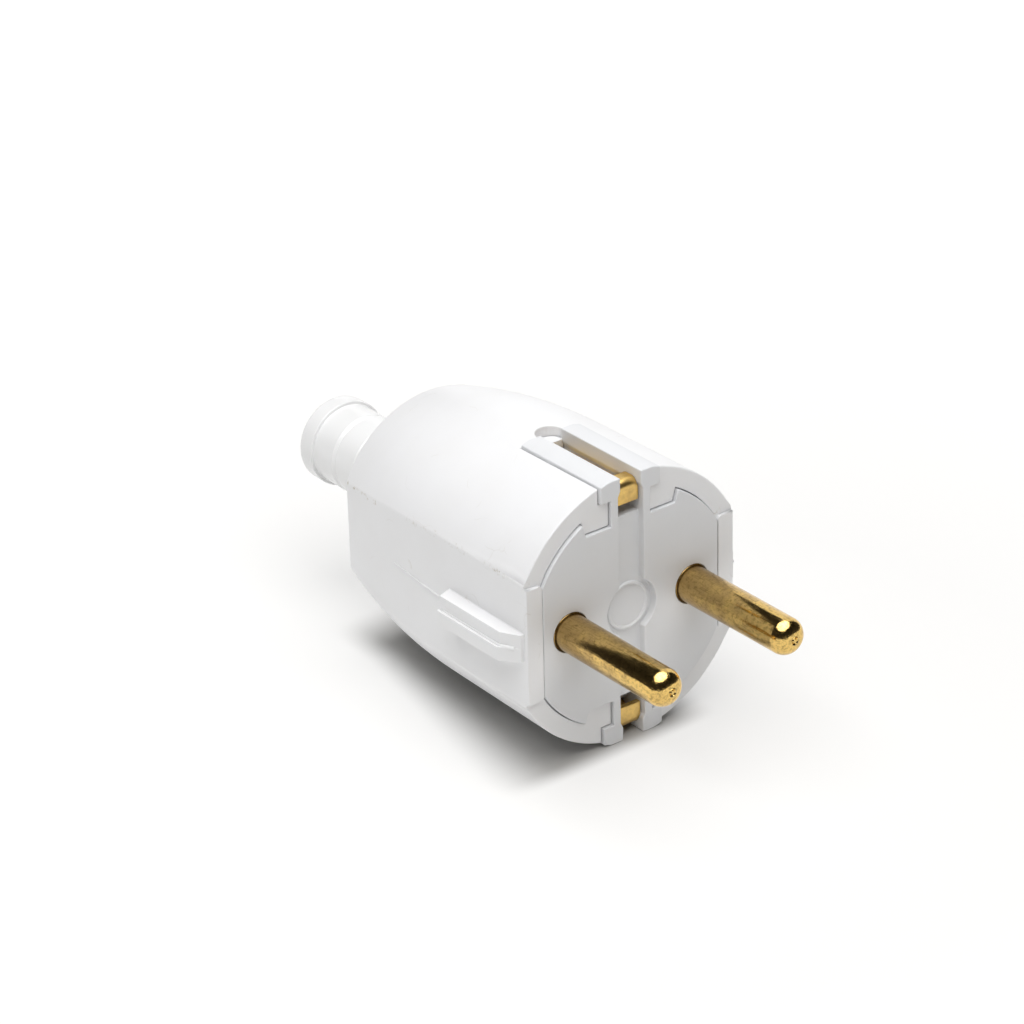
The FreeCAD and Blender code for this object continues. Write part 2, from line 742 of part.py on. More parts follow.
def make_bend_sleeve():
    """The neck that the cord comes out of: a collar inside the housing, ring grooves and an end flange."""
    seat = "body_length - rear_wall"
    end = "flange_start + flange_length"
    profile = [
        ("sleeve_bore", f"{seat} - collar_depth"),
        ("collar_radius", f"{seat} - collar_depth"),
        ("collar_radius", seat),
        ("neck_radius", seat),
    ]
    for ring in range(RINGS, 0, -1):
        middle = f"flange_start - {ring} * ring_pitch"
        profile += [
            ("neck_radius", f"{middle} - ring_half"),
            ("neck_radius - ring_depth", middle),
            ("neck_radius", f"{middle} + ring_half"),
        ]
    profile += [
        ("neck_radius", "flange_start"),
        ("flange_radius", "flange_start"),
        ("flange_radius", end),
        ("sleeve_bore", end),
    ]
    body = lathe("bend_sleeve", profile)
    return round_edges(body, "flange_round", circle_at(end, "flange_radius"))


def check_document():
    """Stops on any object that failed or came out empty or invalid."""
    doc.recompute()
    for thing in doc.Objects:
        failed = [state for state in thing.State if state in ("Invalid", "Error")]
        if failed:
            raise RuntimeError(f"{thing.Label}: {failed}")
    for node in nodes:
        shape = node.Shape
        if shape.isNull() or not shape.isValid() or not shape.Solids:
            raise RuntimeError(f"{node.Label}: no valid solid")


nodes = [
    make_housing(),
    make_contact_carrier(),
    make_bend_sleeve(),
    make_pin("left", SIDES["left"]),
    make_pin("right", SIDES["right"]),
    make_terminal_screws(),
    make_earth_strap(),
    make_earth_washer(),
    make_earth_screw(),
    make_cord_clamp(),
    make_cord_clamp_screws(),
]
check_document()
os.makedirs("parts", exist_ok=True)
for node in nodes:
    node.Shape.exportStep(f"parts/{node.Label}.step")
    shape = node.Shape
    print(node.Label, len(shape.Solids), "solids", round(shape.Volume, 1), "mm3", shape.BoundBox)
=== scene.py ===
"""Looks of a rewirable two-pin plug: moulded shell, contact carrier, cord sleeve and brass parts."""

import itertools
import math

import bmesh
import bpy
from bpy.props import FloatProperty, FloatVectorProperty, IntProperty, PointerProperty
from bpy.types import NodeSocket, Operator, Panel, PropertyGroup
from mathutils import Matrix, Vector


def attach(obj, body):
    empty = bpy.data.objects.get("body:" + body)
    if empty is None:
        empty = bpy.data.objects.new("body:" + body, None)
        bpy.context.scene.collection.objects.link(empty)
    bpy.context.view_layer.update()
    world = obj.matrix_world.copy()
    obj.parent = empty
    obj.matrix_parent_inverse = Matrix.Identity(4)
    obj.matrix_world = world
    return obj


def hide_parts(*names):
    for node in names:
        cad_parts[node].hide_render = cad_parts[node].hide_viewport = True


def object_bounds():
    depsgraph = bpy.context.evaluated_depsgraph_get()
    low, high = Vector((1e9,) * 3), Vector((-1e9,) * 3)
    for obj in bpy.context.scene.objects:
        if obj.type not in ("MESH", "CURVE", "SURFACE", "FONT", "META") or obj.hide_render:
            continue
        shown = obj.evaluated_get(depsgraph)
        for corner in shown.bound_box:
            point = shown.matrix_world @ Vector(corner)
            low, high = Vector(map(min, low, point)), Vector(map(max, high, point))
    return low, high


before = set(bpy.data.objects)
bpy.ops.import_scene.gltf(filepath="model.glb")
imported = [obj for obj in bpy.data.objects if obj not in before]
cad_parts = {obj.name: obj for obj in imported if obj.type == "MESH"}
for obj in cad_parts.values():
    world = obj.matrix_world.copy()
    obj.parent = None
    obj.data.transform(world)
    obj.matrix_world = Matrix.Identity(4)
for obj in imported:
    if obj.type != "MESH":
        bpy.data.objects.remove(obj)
cad_box = [list(corner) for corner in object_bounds()]

bl_info = {
    "name": "Rewirable Plug Looks",
    "version": (1, 0, 0),
    "blender": (4, 5, 0),
    "location": "View3D > Sidebar > Plug",
    "description": "Dresses the CAD parts of a rewirable plug and sets up its studio",
    "category": "Object",
}

MM = 0.001
BODY = "root"
SHELL_PLASTIC = "white ABS, moulded satin"

# Colours that are not settings
WHITE = (1.0, 1.0, 1.0, 1.0)
# The paper is seen in a darker tone than it throws back: painted shade near the plug, lifted to white by a
# painted glow further out
PAPER_THROWN, PAPER_SEEN, CLOTH = "#F5F5F4", "#B0AFAD", "#5C5A5C"
ZINC_LIGHT, ZINC_DARK = "#B9BCC2", "#8E9298"

# How fine the meshes are: gaps in metres, places and arcs in millimetres
MERGE_GAP = 0.002 * MM
SAME_PLACE, NEAR_PLACE = 0.01, 0.1
SAME_PLANE, SHARP = math.radians(0.4), math.radians(17)
ROUND_STEPS, ARC_STEP, TOOL_SIDES = 3, 0.12, 48

# Weight of wide flat faces over the rounds in the shading
FLAT_WEIGHT = 100

# Sizes as in the CAD, in millimetres
FLAT_FRONT, FLAT_WAIST, FLAT_END = 16.15, 15.95, 13.5
RING_SET, WAIST_Y, BODY_LENGTH = 0.45, 20.0, 40.6
RAIL_OUT, RAIL_HALF, RAIL_LIP, RAIL_LIP_Y, RAIL_LEAD_END = 18.2, 1.85, 16.65, 1.0, 3.0
SLEEVE_BORE, COLLAR_RADIUS, COLLAR_START, COLLAR_END = 4.0, 7.0, 36.6, 38.2
FLANGE_RADIUS, FLANGE_START, FLANGE_END, FLANGE_END_ROUND = 5.95, 59.5, 62.2, 0.5
PIN_RADIUS, PIN_TIP, PIN_DOME, PIN_OFFSET = 2.4, -19.0, 1.9, 9.5
KNURL_RADIUS, TERMINAL_RADIUS, TERMINAL_START, TERMINAL_END = 2.8, 3.0, 4.0, 18.5
WIRE_HOLE, WIRE_HOLE_END, SCREW_HOLE, SCREW_Y = 1.5, 10.5, 1.5, 14.5

# Shapes that only the looks have, in millimetres
RAIL_FRONT, RAIL_UPPER = 0.6, 18.0
MARK_WIDTH, COLLAR_RING, RING_START, KNURL_START = 0.28, 2.53, 0.1, 1.5
COLLAR_ROUND, NECK_ROUND, GROOVE_ROUND = 0.2, 0.1, 0.12
FLANGE_FOOT_ROUND, FLANGE_RIM_ROUND, BORE_ROUND = 0.15, 0.18, 0.3
MARK_ROUND, RING_ROUND, STEP_ROUND, TERMINAL_ROUND = 0.02, 0.03, 0.1, 0.2

# Limits that tell one kind of edge or corner from another, in millimetres
RIM_RADIUS, BORDER_IN, BORDER_LOW, BORDER_HIGH = 17.2, 12.5, 5.0, 9.6
BAND_IN, BAND_OUT, BAND_LOW, BAND_HIGH, BAND_END = 13.3, 14.8, 6.9, 8.2, 0.9
BORDER_CORNER, CORNER_REACH = Vector((15.9, 20.0, 8.25)), 0.2
PIN_RECESS, INNER_Y = 3.1, 14.0

# Dirt along the borders of the flats, in millimetres: the borders' heights, its reach and its fade
BORDER_AT_WAIST, BORDER_AT_END = 8.2, 6.0
DIRT_CORE, DIRT_REACH, DIRT_FADE = 0.1, 0.5, 0.4

# Radians that a wave texture turns through in one unit at scale 1
WAVE_RATE = 20

# Runs of the mould line on a flat and of the flash on a rail: y, z and bead radius at both ends, in
# millimetres
FLAT_LINE_RUNS = (
    ((15.6, -0.35, 0.08), (17.6, -0.22, 0.08)),
    ((17.6, -0.22, 0.17), (20.8, 0.0, 0.19)),
    ((20.8, 0.0, 0.15), (27.7, 0.45, 0.1)),
)
RAIL_FLASH_RUNS = (
    ((14.9, 0.0, 0.14), (6.6, 0.0, 0.19)),
    ((6.6, -0.06, 0.23), (1.3, -0.06, 0.29)),
)
RUN_STEPS, BEAD_SIDES = 14, 12

# Studio, in metres, and the width of the camera's sensor in millimetres
SENSOR_WIDTH = 36.0
PLUG_MIDDLE = Vector((0.0, 0.015, 0.0))
OVERHEAD_PLACE, OVERHEAD_SIZE = Vector((-0.054, -0.043, 0.5)), 0.72
SIDE_PLACE, SIDE_SIZE = Vector((-0.7, 0.1, 0.3)), 0.4
FLOOR_HALF, FLOOR_GAP = 1.5, 0.00002
FAR_GROUND, FAR_GROUND_LIFT = (0.06, 0.5), 0.5
CURTAIN_RADIUS, CURTAIN_HEIGHT, CURTAIN_SIDES = 0.9, 2.0, 48
CURTAIN_OPENING = (math.radians(8), math.radians(62))

# Where the painted glow on the paper starts to clear the plug's shadow and where the shadow has gone, in
# millimetres: along one axis, and on the left, where both lie further in at the rear, as depths and the
# places at these depths
SHADE_BORDERS = (("X", 5.0, 13.0), ("Y", 0.7, -3.2), ("Y", 38.0, 48.0))
SHADE_LEFT_DEPTHS, SHADE_LEFT_STARTS, SHADE_LEFT_ENDS = (3.0, 36.0), (-11.3, -8.5), (-22.0, -14.5)


def linear(colour):
    """Linear RGBA of an sRGB hex colour."""
    channels = [int(colour[place:place + 2], 16) / 255 for place in (1, 3, 5)]
    return [c / 12.92 if c <= 0.04045 else ((c + 0.055) / 1.055) ** 2.4 for c in channels] + [1.0]


def length(name, description, millimetres):
    """A size property, given in millimetres."""
    return FloatProperty(name=name, description=description, default=millimetres * MM, unit="LENGTH",
                         precision=5)


def colour(name, description, hex_colour):
    """A colour property, given as sRGB hex."""
    return FloatVectorProperty(name=name, description=description, default=linear(hex_colour), size=4,
                               subtype="COLOR", min=0.0, max=1.0)


def share(name, description, default):
    """A property from 0 to 1."""
    return FloatProperty(name=name, description=description, default=default, min=0.0, max=1.0,
                         subtype="FACTOR")


class MouldingSettings(PropertyGroup):
    """Edges and colours of the white mouldings."""
    rim_round: length("Front Rim", "Radius round the front of the shell", 0.22)
    fine_round: length("Fine Edges", "Radius along seams and slots", 0.15)
    rail_round: length("Rail Edges", "Radius along the edges of the rails", 0.06)
    tight_round: length("Tight Edges", "Radius along the recesses round the pins", 0.05)
    shell_colour: colour("Shell", "Colour of the shell", "#F2F2F3")
    carrier_colour: colour("Carrier", "Colour of the contact carrier", "#E6E7E9")
    sleeve_colour: colour("Sleeve", "Colour of the cord sleeve", "#F3F3F3")
    dirt_colour: colour("Dirt", "Colour of the specks along worn edges", "#A0906C")


class SleeveSettings(PropertyGroup):
    """Rings of the cord sleeve."""
    neck_radius: length("Neck", "Radius of the neck", 5.5)
    ring_pitch: length("Ring Pitch", "Distance between the rings", 4.5)
    ring_half: length("Ring Half Width", "Half the width of a ring groove", 0.42)
    ring_depth: length("Ring Depth", "Depth of a ring groove", 0.35)
    rings: IntProperty(name="Rings", description="Number of ring grooves", default=3, min=0, max=4)
    segments: IntProperty(name="Segments", description="Facets round the sleeve", default=128, min=16)


class BrassSettings(PropertyGroup):
    """Pins and earth strap."""
    mark_radius: length("Tip Mark", "Radius of the ring turned into a pin's tip", 0.5)
    mark_depth: length("Tip Mark Depth", "Depth of the ring turned into a pin's tip", 0.2)
    strap_round: length("Strap Edges", "Radius along the strap's edges", 0.09)
    segments: IntProperty(name="Segments", description="Facets round a pin", default=128, min=16)
    bright: colour("Bright Brass", "Colour where the brass is worn clean", "#E6C274")
    dull: colour("Dull Brass", "Colour where the brass has tarnished", "#C0A066")
    stain: colour("Stain", "Colour of the dark stains", "#75603A")


class StageSettings(PropertyGroup):
    """Camera and light."""
    azimuth: FloatProperty(name="Azimuth", description="Turn of the camera about the upright axis",
                           default=math.radians(-37.023), subtype="ANGLE")
    elevation: FloatProperty(name="Elevation", description="Height of the camera above the horizon",
                             default=math.radians(27.218), subtype="ANGLE")
    roll: FloatProperty(name="Roll", description="Turn of the camera about its view axis",
                        default=math.radians(-1.599), subtype="ANGLE")
    distance: length("Distance", "Distance of the camera from the plug's face", 450.0)
    right: length("Move Right", "Shift of the plug to the right of the picture's middle", 14.59)
    up: length("Move Up", "Shift of the plug above the picture's middle", -11.617)
    lens: FloatProperty(name="Lens", description="Focal length on a sensor 36 mm wide", default=130.379,
                        subtype="DISTANCE_CAMERA")
    overhead: FloatProperty(name="Overhead Power", description="Power of the overhead softbox", default=4.15,
                            unit="POWER")
    side: FloatProperty(name="Side Power", description="Power of the softbox on the left", default=0.35,
                        unit="POWER")
    ambient: share("Ambient", "Light from all round", 0.04)
    floor_lift: share("Floor Lift", "Brightness that the paper shows beyond what the lamps give", 0.53)


class PlugSettings(PropertyGroup):
    """All settings of the plug."""
    moulding: PointerProperty(type=MouldingSettings)
    sleeve: PointerProperty(type=SleeveSettings)
    brass: PointerProperty(type=BrassSettings)
    stage: PointerProperty(type=StageSettings)


def add(tree, kind, inputs=None, **settings):
    """Adds a node with its settings, and sets or links its inputs by name or number."""
    node = tree.nodes.new(kind)
    for name, value in settings.items():
        setattr(node, name, value)
    for name, value in (inputs or {}).items():
        if isinstance(value, NodeSocket):
            tree.links.new(value, node.inputs[name])
        else:
            node.inputs[name].default_value = value
    return node


def blank_material(name):
    """A new material with an empty node tree."""
    material = bpy.data.materials.new(name)
    material.use_nodes = True
    material.node_tree.nodes.clear()
    return material


def per_mm(size):
    """Texture scale whose cells are this many millimetres wide."""
    return 1 / (size * MM)


def white_moulding(name, base, dirt, roughness, grain, wear):
    """Moulded white plastic. The eye sees a satin skin with a fine grain, faint clouds in its gloss, a few
    hairline scuffs and a little dirt caught along the borders of the flats."""
    material = blank_material(name)
    tree = material.node_tree
    place = add(tree, "ShaderNodeTexCoord").outputs["Object"]
    axes = add(tree, "ShaderNodeSeparateXYZ", {"Vector": place})

    # Dirt sits within half a millimetre of the line where a flat meets the round skin
    sideways = add(tree, "ShaderNodeMath", {0: axes.outputs["X"]}, operation="ABSOLUTE")
    at_flat = add(tree, "ShaderNodeMapRange", {
        "Value": sideways.outputs[0], "From Min": (FLAT_END - DIRT_FADE) * MM,
        "From Max": FLAT_END * MM,
    })
    height = add(tree, "ShaderNodeMapRange", {
        "Value": axes.outputs["Y"], "From Min": WAIST_Y * MM, "From Max": BODY_LENGTH * MM,
        "To Min": BORDER_AT_WAIST * MM, "To Max": BORDER_AT_END * MM,
    })
    away = add(tree, "ShaderNodeMath", {0: axes.outputs["Z"], 1: height.outputs[0]}, operation="SUBTRACT")
    span = add(tree, "ShaderNodeMath", {0: away.outputs[0]}, operation="ABSOLUTE")
    near = add(tree, "ShaderNodeMapRange", {
        "Value": span.outputs[0], "From Min": DIRT_CORE * MM, "From Max": DIRT_REACH * MM,
        "To Min": wear, "To Max": 0.0,
    })
    border = add(tree, "ShaderNodeMath", {0: near.outputs[0], 1: at_flat.outputs[0]}, operation="MULTIPLY")
    specks = add(tree, "ShaderNodeTexNoise", {"Vector": place, "Scale": per_mm(0.5), "Detail": 4.0})
    speck = add(tree, "ShaderNodeMapRange", {
        "Value": specks.outputs["Fac"], "From Min": 0.52, "From Max": 0.7,
    })
    patches = add(tree, "ShaderNodeTexNoise", {"Vector": place, "Scale": per_mm(4.0), "Detail": 1.0})
    patch = add(tree, "ShaderNodeMapRange", {
        "Value": patches.outputs["Fac"], "From Min": 0.45, "From Max": 0.6,
    })
    caught = add(tree, "ShaderNodeMath", {0: speck.outputs[0], 1: border.outputs[0]}, operation="MULTIPLY")
    dirty = add(tree, "ShaderNodeMath", {0: caught.outputs[0], 1: patch.outputs[0]}, operation="MULTIPLY")

    # Hairline scuffs follow the borders of warped cells
    warp = add(tree, "ShaderNodeTexNoise", {"Vector": place, "Scale": per_mm(9.0), "Detail": 2.0})
    bent = add(tree, "ShaderNodeVectorMath", {0: warp.outputs["Color"], 1: [12 * MM] * 3},
               operation="MULTIPLY")
    moved = add(tree, "ShaderNodeVectorMath", {0: place, 1: bent.outputs[0]}, operation="ADD")
    cells = add(tree, "ShaderNodeTexVoronoi", {"Vector": moved.outputs[0], "Scale": per_mm(8.0)},
                feature="DISTANCE_TO_EDGE")
    hair = add(tree, "ShaderNodeMapRange", {
        "Value": cells.outputs["Distance"], "From Min": 0.003, "From Max": 0.009,
        "To Min": 0.14 * wear, "To Max": 0.0,
    })
    broken = add(tree, "ShaderNodeTexNoise", {"Vector": place, "Scale": per_mm(3.0), "Detail": 3.0})
    some = add(tree, "ShaderNodeMapRange", {
        "Value": broken.outputs["Fac"], "From Min": 0.58, "From Max": 0.66,
    })
    scuff = add(tree, "ShaderNodeMath", {0: hair.outputs[0], 1: some.outputs[0]}, operation="MULTIPLY")

    clouds = add(tree, "ShaderNodeTexNoise", {"Vector": place, "Scale": per_mm(7.0), "Detail": 3.0})
    tint = add(tree, "ShaderNodeMapRange", {
        "Value": clouds.outputs["Fac"], "From Min": 0.3, "From Max": 0.7, "To Min": 0.0, "To Max": 0.035,
    })
    tinted = add(tree, "ShaderNodeMix", {"Factor": tint.outputs[0], 6: base, 7: dirt}, data_type="RGBA")
    soiled = add(tree, "ShaderNodeMath", {0: dirty.outputs[0], 1: scuff.outputs[0]}, operation="MAXIMUM")
    skin = add(tree, "ShaderNodeMix", {"Factor": soiled.outputs[0], 6: tinted.outputs[2], 7: dirt},
               data_type="RGBA")
    gloss = add(tree, "ShaderNodeMapRange", {
        "Value": clouds.outputs["Fac"], "From Min": 0.3, "From Max": 0.7,
        "To Min": roughness - 0.06 * wear, "To Max": roughness + 0.06 * wear,
    })
    matt = add(tree, "ShaderNodeMath", {0: gloss.outputs[0], 1: scuff.outputs[0]}, operation="ADD")
    spark = add(tree, "ShaderNodeTexNoise", {"Vector": place, "Scale": per_mm(0.22), "Detail": 2.0})
    bump = add(tree, "ShaderNodeBump", {
        "Strength": grain, "Distance": 0.02 * MM, "Height": spark.outputs["Fac"],
    })
    shader = add(tree, "ShaderNodeBsdfPrincipled", {
        "Base Color": skin.outputs[2], "Roughness": matt.outputs[0], "Normal": bump.outputs[0], "IOR": 1.53,
        "Subsurface Weight": 0.12, "Subsurface Radius": (1.0, 1.0, 1.0), "Subsurface Scale": 0.6 * MM,
    })
    add(tree, "ShaderNodeOutputMaterial", {"Surface": shader.outputs[0]})
    return material


def handled_brass(name, settings, clean, turned, marks, polish):
    """Brass that has been turned or bent and then handled. The eye sees a mirror of the room in it: bright
    gold where sockets rub it clean, olive tarnish near the face, small stains and scratches along the way it
    is pushed."""
    material = blank_material(name)
    tree = material.node_tree
    place = add(tree, "ShaderNodeTexCoord").outputs["Object"]
    axes = add(tree, "ShaderNodeSeparateXYZ", {"Vector": place})
    rubbed = add(tree, "ShaderNodeMapRange", {
        "Value": axes.outputs["Y"], "From Min": -16 * MM, "From Max": -1 * MM,
        "To Min": 0.0 - clean, "To Max": 0.5 - clean,
    })
    blotches = add(tree, "ShaderNodeTexNoise", {"Vector": place, "Scale": per_mm(1.6), "Detail": 5.0})
    aged = add(tree, "ShaderNodeMath", {0: blotches.outputs["Fac"], 1: rubbed.outputs[0]}, operation="ADD")
    tarnish = add(tree, "ShaderNodeMapRange", {"Value": aged.outputs[0], "From Min": 0.5, "From Max": 0.9})

    # Scratches run along the pin and a little round it, so the noise is stretched and turned
    stretched = add(tree, "ShaderNodeMapping", {
        "Vector": place, "Rotation": (0.0, 0.0, math.radians(12)),
        "Scale": (per_mm(0.16), per_mm(1.6), per_mm(0.16)),
    })
    streaks = add(tree, "ShaderNodeTexNoise", {"Vector": stretched.outputs[0], "Scale": 1.0, "Detail": 4.0})
    streak = add(tree, "ShaderNodeMapRange", {
        "Value": streaks.outputs["Fac"], "From Min": 0.54, "From Max": 0.66,
    })
    mottle = add(tree, "ShaderNodeTexNoise", {"Vector": place, "Scale": per_mm(0.4), "Detail": 3.0})
    dark = add(tree, "ShaderNodeMapRange", {
        "Value": mottle.outputs["Fac"], "From Min": 0.5, "From Max": 0.75,
        "To Min": 0.0, "To Max": 0.6 * marks,
    })
    scored = add(tree, "ShaderNodeMath", {0: streak.outputs[0], 1: 0.45 * marks}, operation="MULTIPLY")
    marked = add(tree, "ShaderNodeMath", {0: dark.outputs[0], 1: scored.outputs[0]}, operation="MAXIMUM")

    aged_colour = add(tree, "ShaderNodeMix", {
        "Factor": tarnish.outputs[0], 6: settings.bright, 7: settings.dull,
    }, data_type="RGBA")
    stained_colour = add(tree, "ShaderNodeMix", {
        "Factor": marked.outputs[0], 6: aged_colour.outputs[2], 7: settings.stain,
    }, data_type="RGBA")
    gloss = add(tree, "ShaderNodeMapRange", {
        "Value": tarnish.outputs[0], "To Min": polish, "To Max": polish + 0.1,
    })
    scratched = add(tree, "ShaderNodeMath", {0: marked.outputs[0], 1: 0.15}, operation="MULTIPLY")
    rough = add(tree, "ShaderNodeMath", {0: gloss.outputs[0], 1: scratched.outputs[0]}, operation="ADD")

    # Lathe lines are drawn wider apart than real ones, so that they show
    rings = add(tree, "ShaderNodeTexWave", {
        "Vector": place, "Scale": per_mm(0.35) / WAVE_RATE, "Distortion": 1.5, "Detail": 2.0,
    }, bands_direction="Y")
    lines = add(tree, "ShaderNodeMath", {0: rings.outputs["Fac"], 1: turned}, operation="MULTIPLY")
    relief = add(tree, "ShaderNodeMath", {0: lines.outputs[0], 1: streak.outputs[0]}, operation="ADD")
    rise = add(tree, "ShaderNodeMath", {0: relief.outputs[0], 1: mottle.outputs["Fac"]}, operation="ADD")
    bump = add(tree, "ShaderNodeBump", {
        "Strength": 0.4 * marks, "Distance": 0.012 * MM, "Height": rise.outputs[0],
    })
    shader = add(tree, "ShaderNodeBsdfPrincipled", {
        "Base Color": stained_colour.outputs[2], "Metallic": 1.0, "Roughness": rough.outputs[0],
        "Normal": bump.outputs[0],
    })
    add(tree, "ShaderNodeOutputMaterial", {"Surface": shader.outputs[0]})
    return material


def zinc_plate():
    """Zinc plated steel of the screws: bluish grey with soft clouds in its gloss."""
    material = blank_material("zinc plated steel")
    tree = material.node_tree
    place = add(tree, "ShaderNodeTexCoord").outputs["Object"]
    clouds = add(tree, "ShaderNodeTexNoise", {"Vector": place, "Scale": per_mm(1.2), "Detail": 4.0})
    shade = add(tree, "ShaderNodeMix", {
        "Factor": clouds.outputs["Fac"], 6: linear(ZINC_LIGHT), 7: linear(ZINC_DARK),
    }, data_type="RGBA")
    gloss = add(tree, "ShaderNodeMapRange", {"Value": clouds.outputs["Fac"], "To Min": 0.25, "To Max": 0.45})
    shader = add(tree, "ShaderNodeBsdfPrincipled", {
        "Base Color": shade.outputs[2], "Metallic": 1.0, "Roughness": gloss.outputs[0],
    })
    add(tree, "ShaderNodeOutputMaterial", {"Surface": shader.outputs[0]})
    return material


def link_object(name, mesh):
    """Puts a mesh into the scene at the origin."""
    thing = bpy.data.objects.new(name, mesh)
    bpy.context.scene.collection.objects.link(thing)
    return thing


def shade_smooth(mesh):
    """Lets the light run on over the edges of all faces."""
    mesh.polygons.foreach_set("use_smooth", [True] * len(mesh.polygons))


def settle(thing):
    """Turns an object's modifiers into its plain mesh, shaded smooth."""
    result = bpy.data.meshes.new_from_object(thing.evaluated_get(bpy.context.evaluated_depsgraph_get()))
    thing.modifiers.clear()
    thing.data = result
    shade_smooth(result)
    return thing


def dress(piece, material, slot, *nodes):
    """Gives a finished piece its material, hangs it on the plug's body and hides the CAD nodes it stands for.
    """
    piece.data.materials.clear()
    piece.data.materials.append(material)
    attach(piece, BODY)
    if nodes:
        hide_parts(*nodes)
    return piece


def drop_slivers(piece):
    """Takes out the faces without area that rounding and drilling leave."""
    settle(piece)
    copy = bmesh.new()
    copy.from_mesh(piece.data)
    bmesh.ops.remove_doubles(copy, verts=copy.verts, dist=MERGE_GAP)
    bmesh.ops.dissolve_degenerate(copy, dist=MERGE_GAP, edges=copy.edges)
    copy.to_mesh(piece.data)
    copy.free()


def weigh_normals(piece):
    """Keeps flat faces flat in the light, with the change of direction in the rounds."""
    normals = piece.modifiers.new("normals", "WEIGHTED_NORMAL")
    normals.weight = FLAT_WEIGHT
    normals.keep_sharp = True


def shape_housing(copy):
    """Makes one point of the cluster at each corner where the border of a flat turns, brings the rails' front
    ends up to the ring, and sets their upper halves back for a wider step."""
    corners = [v for v in copy.verts
               if (Vector(abs(c) for c in v.co) / MM - BORDER_CORNER).length < CORNER_REACH]
    bmesh.ops.remove_doubles(copy, verts=corners, dist=2 * CORNER_REACH * MM)
    for vertex in copy.verts:
        x, y, z = vertex.co / MM
        on_rail = abs(x) > FLAT_WAIST and abs(z) < RAIL_HALF + SAME_PLACE
        if on_rail and abs(y - RAIL_LIP_Y) < SAME_PLACE:
            vertex.co.y = RAIL_FRONT * MM
        if abs(abs(x) - RAIL_OUT) < SAME_PLACE and -SAME_PLACE < z < RAIL_HALF + SAME_PLACE:
            vertex.co.x = math.copysign(RAIL_UPPER, x) * MM


def rounded_copy(name, node, widest, radius_of, reshape=None):
    """A merged copy of a CAD node, reshaped if asked, whose sharp edges are rounded by what radius_of says of
    each. An edge without a radius stays crisp."""
    mesh = bpy.data.meshes.new(name)
    copy = bmesh.new()
    copy.from_mesh(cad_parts[node].data)
    bmesh.ops.remove_doubles(copy, verts=copy.verts, dist=MERGE_GAP)
    if reshape:
        reshape(copy)
    bmesh.ops.dissolve_limit(copy, angle_limit=SAME_PLANE, verts=copy.verts, edges=copy.edges)
    weights = copy.edges.layers.float.new("bevel_weight_edge")
    for edge in copy.edges:
        if edge.is_manifold and edge.calc_face_angle() > SHARP:
            radius = radius_of(edge)
            edge[weights] = radius / widest
            edge.smooth = radius > 0
    copy.to_mesh(mesh)
    copy.free()
    if "custom_normal" in mesh.attributes:
        mesh.attributes.remove(mesh.attributes["custom_normal"])
    shade_smooth(mesh)
    piece = link_object(name, mesh)
    bevel = piece.modifiers.new("rounds", "BEVEL")
    bevel.limit_method = "WEIGHT"
    bevel.width = widest
    bevel.segments = ROUND_STEPS
    bevel.use_clamp_overlap = False
    drop_slivers(piece)
    weigh_normals(piece)
    return settle(piece)


def edge_middle(edge):
    """The middle of an edge, in millimetres."""
    return (edge.verts[0].co + edge.verts[1].co) / 2 / MM


def corner_round(before, corner, after, radius):
    """Points of the arc that rounds a corner of a profile, in millimetres."""
    steps = ROUND_STEPS + int(radius / ARC_STEP)
    back = (before - corner).normalized()
    ahead = (after - corner).normalized()
    half = back.angle(ahead) / 2
    reach = radius / math.tan(half)
    middle = corner + (back + ahead).normalized() * radius / math.sin(half)
    start = corner + back * reach - middle
    end = corner + ahead * reach - middle
    sweep = start.angle_signed(end)
    return [middle + Matrix.Rotation(-sweep * step / steps, 2) @ start for step in range(steps + 1)]


def lathe(name, corners, segments, x=0.0):
    """A closed solid turned about an axis along Y from (radius, y, round) corners in millimetres."""
    points = [Vector((radius, y)) for radius, y, _ in corners]
    profile = []
    for number, (_, _, radius) in enumerate(corners):
        if radius:
            after = points[(number + 1) % len(points)]
            profile += corner_round(points[number - 1], points[number], after, radius)
        else:
            profile.append(points[number])
    solid = bmesh.new()
    rings = []
    for radius, y in profile:
        if radius < SAME_PLACE:
            rings.append([solid.verts.new((x * MM, y * MM, 0))] * segments)
            continue
        turns = [math.tau * step / segments for step in range(segments)]
        rings.append([solid.verts.new(((x + radius * math.cos(t)) * MM, y * MM, radius * math.sin(t) * MM))
                      for t in turns])
    closed = profile[0].x > SAME_PLACE
    pairs = list(zip(rings, rings[1:] + rings[:1])) if closed else list(zip(rings, rings[1:]))
    for low, high in pairs:
        for step in range(segments):
            after = (step + 1) % segments
            loop = list(dict.fromkeys((low[step], low[after], high[after], high[step])))
            if len(loop) > 2:
                solid.faces.new(loop)
    bmesh.ops.recalc_face_normals(solid, faces=solid.faces)
    mesh = bpy.data.meshes.new(name)
    solid.to_mesh(mesh)
    solid.free()
    shade_smooth(mesh)
    return link_object(name, mesh)


def upright_rod(name, radius, x, y, height):
    """A round tool that stands on the XY plane."""
    tool = bmesh.new()
    bmesh.ops.create_cone(tool, cap_ends=True, segments=TOOL_SIDES, radius1=radius * MM, radius2=radius * MM,
                          depth=height * MM, matrix=Matrix.Translation(Vector((x, y, height / 2)) * MM))
    mesh = bpy.data.meshes.new(name)
    tool.to_mesh(mesh)
    tool.free()
    return link_object(name, mesh)


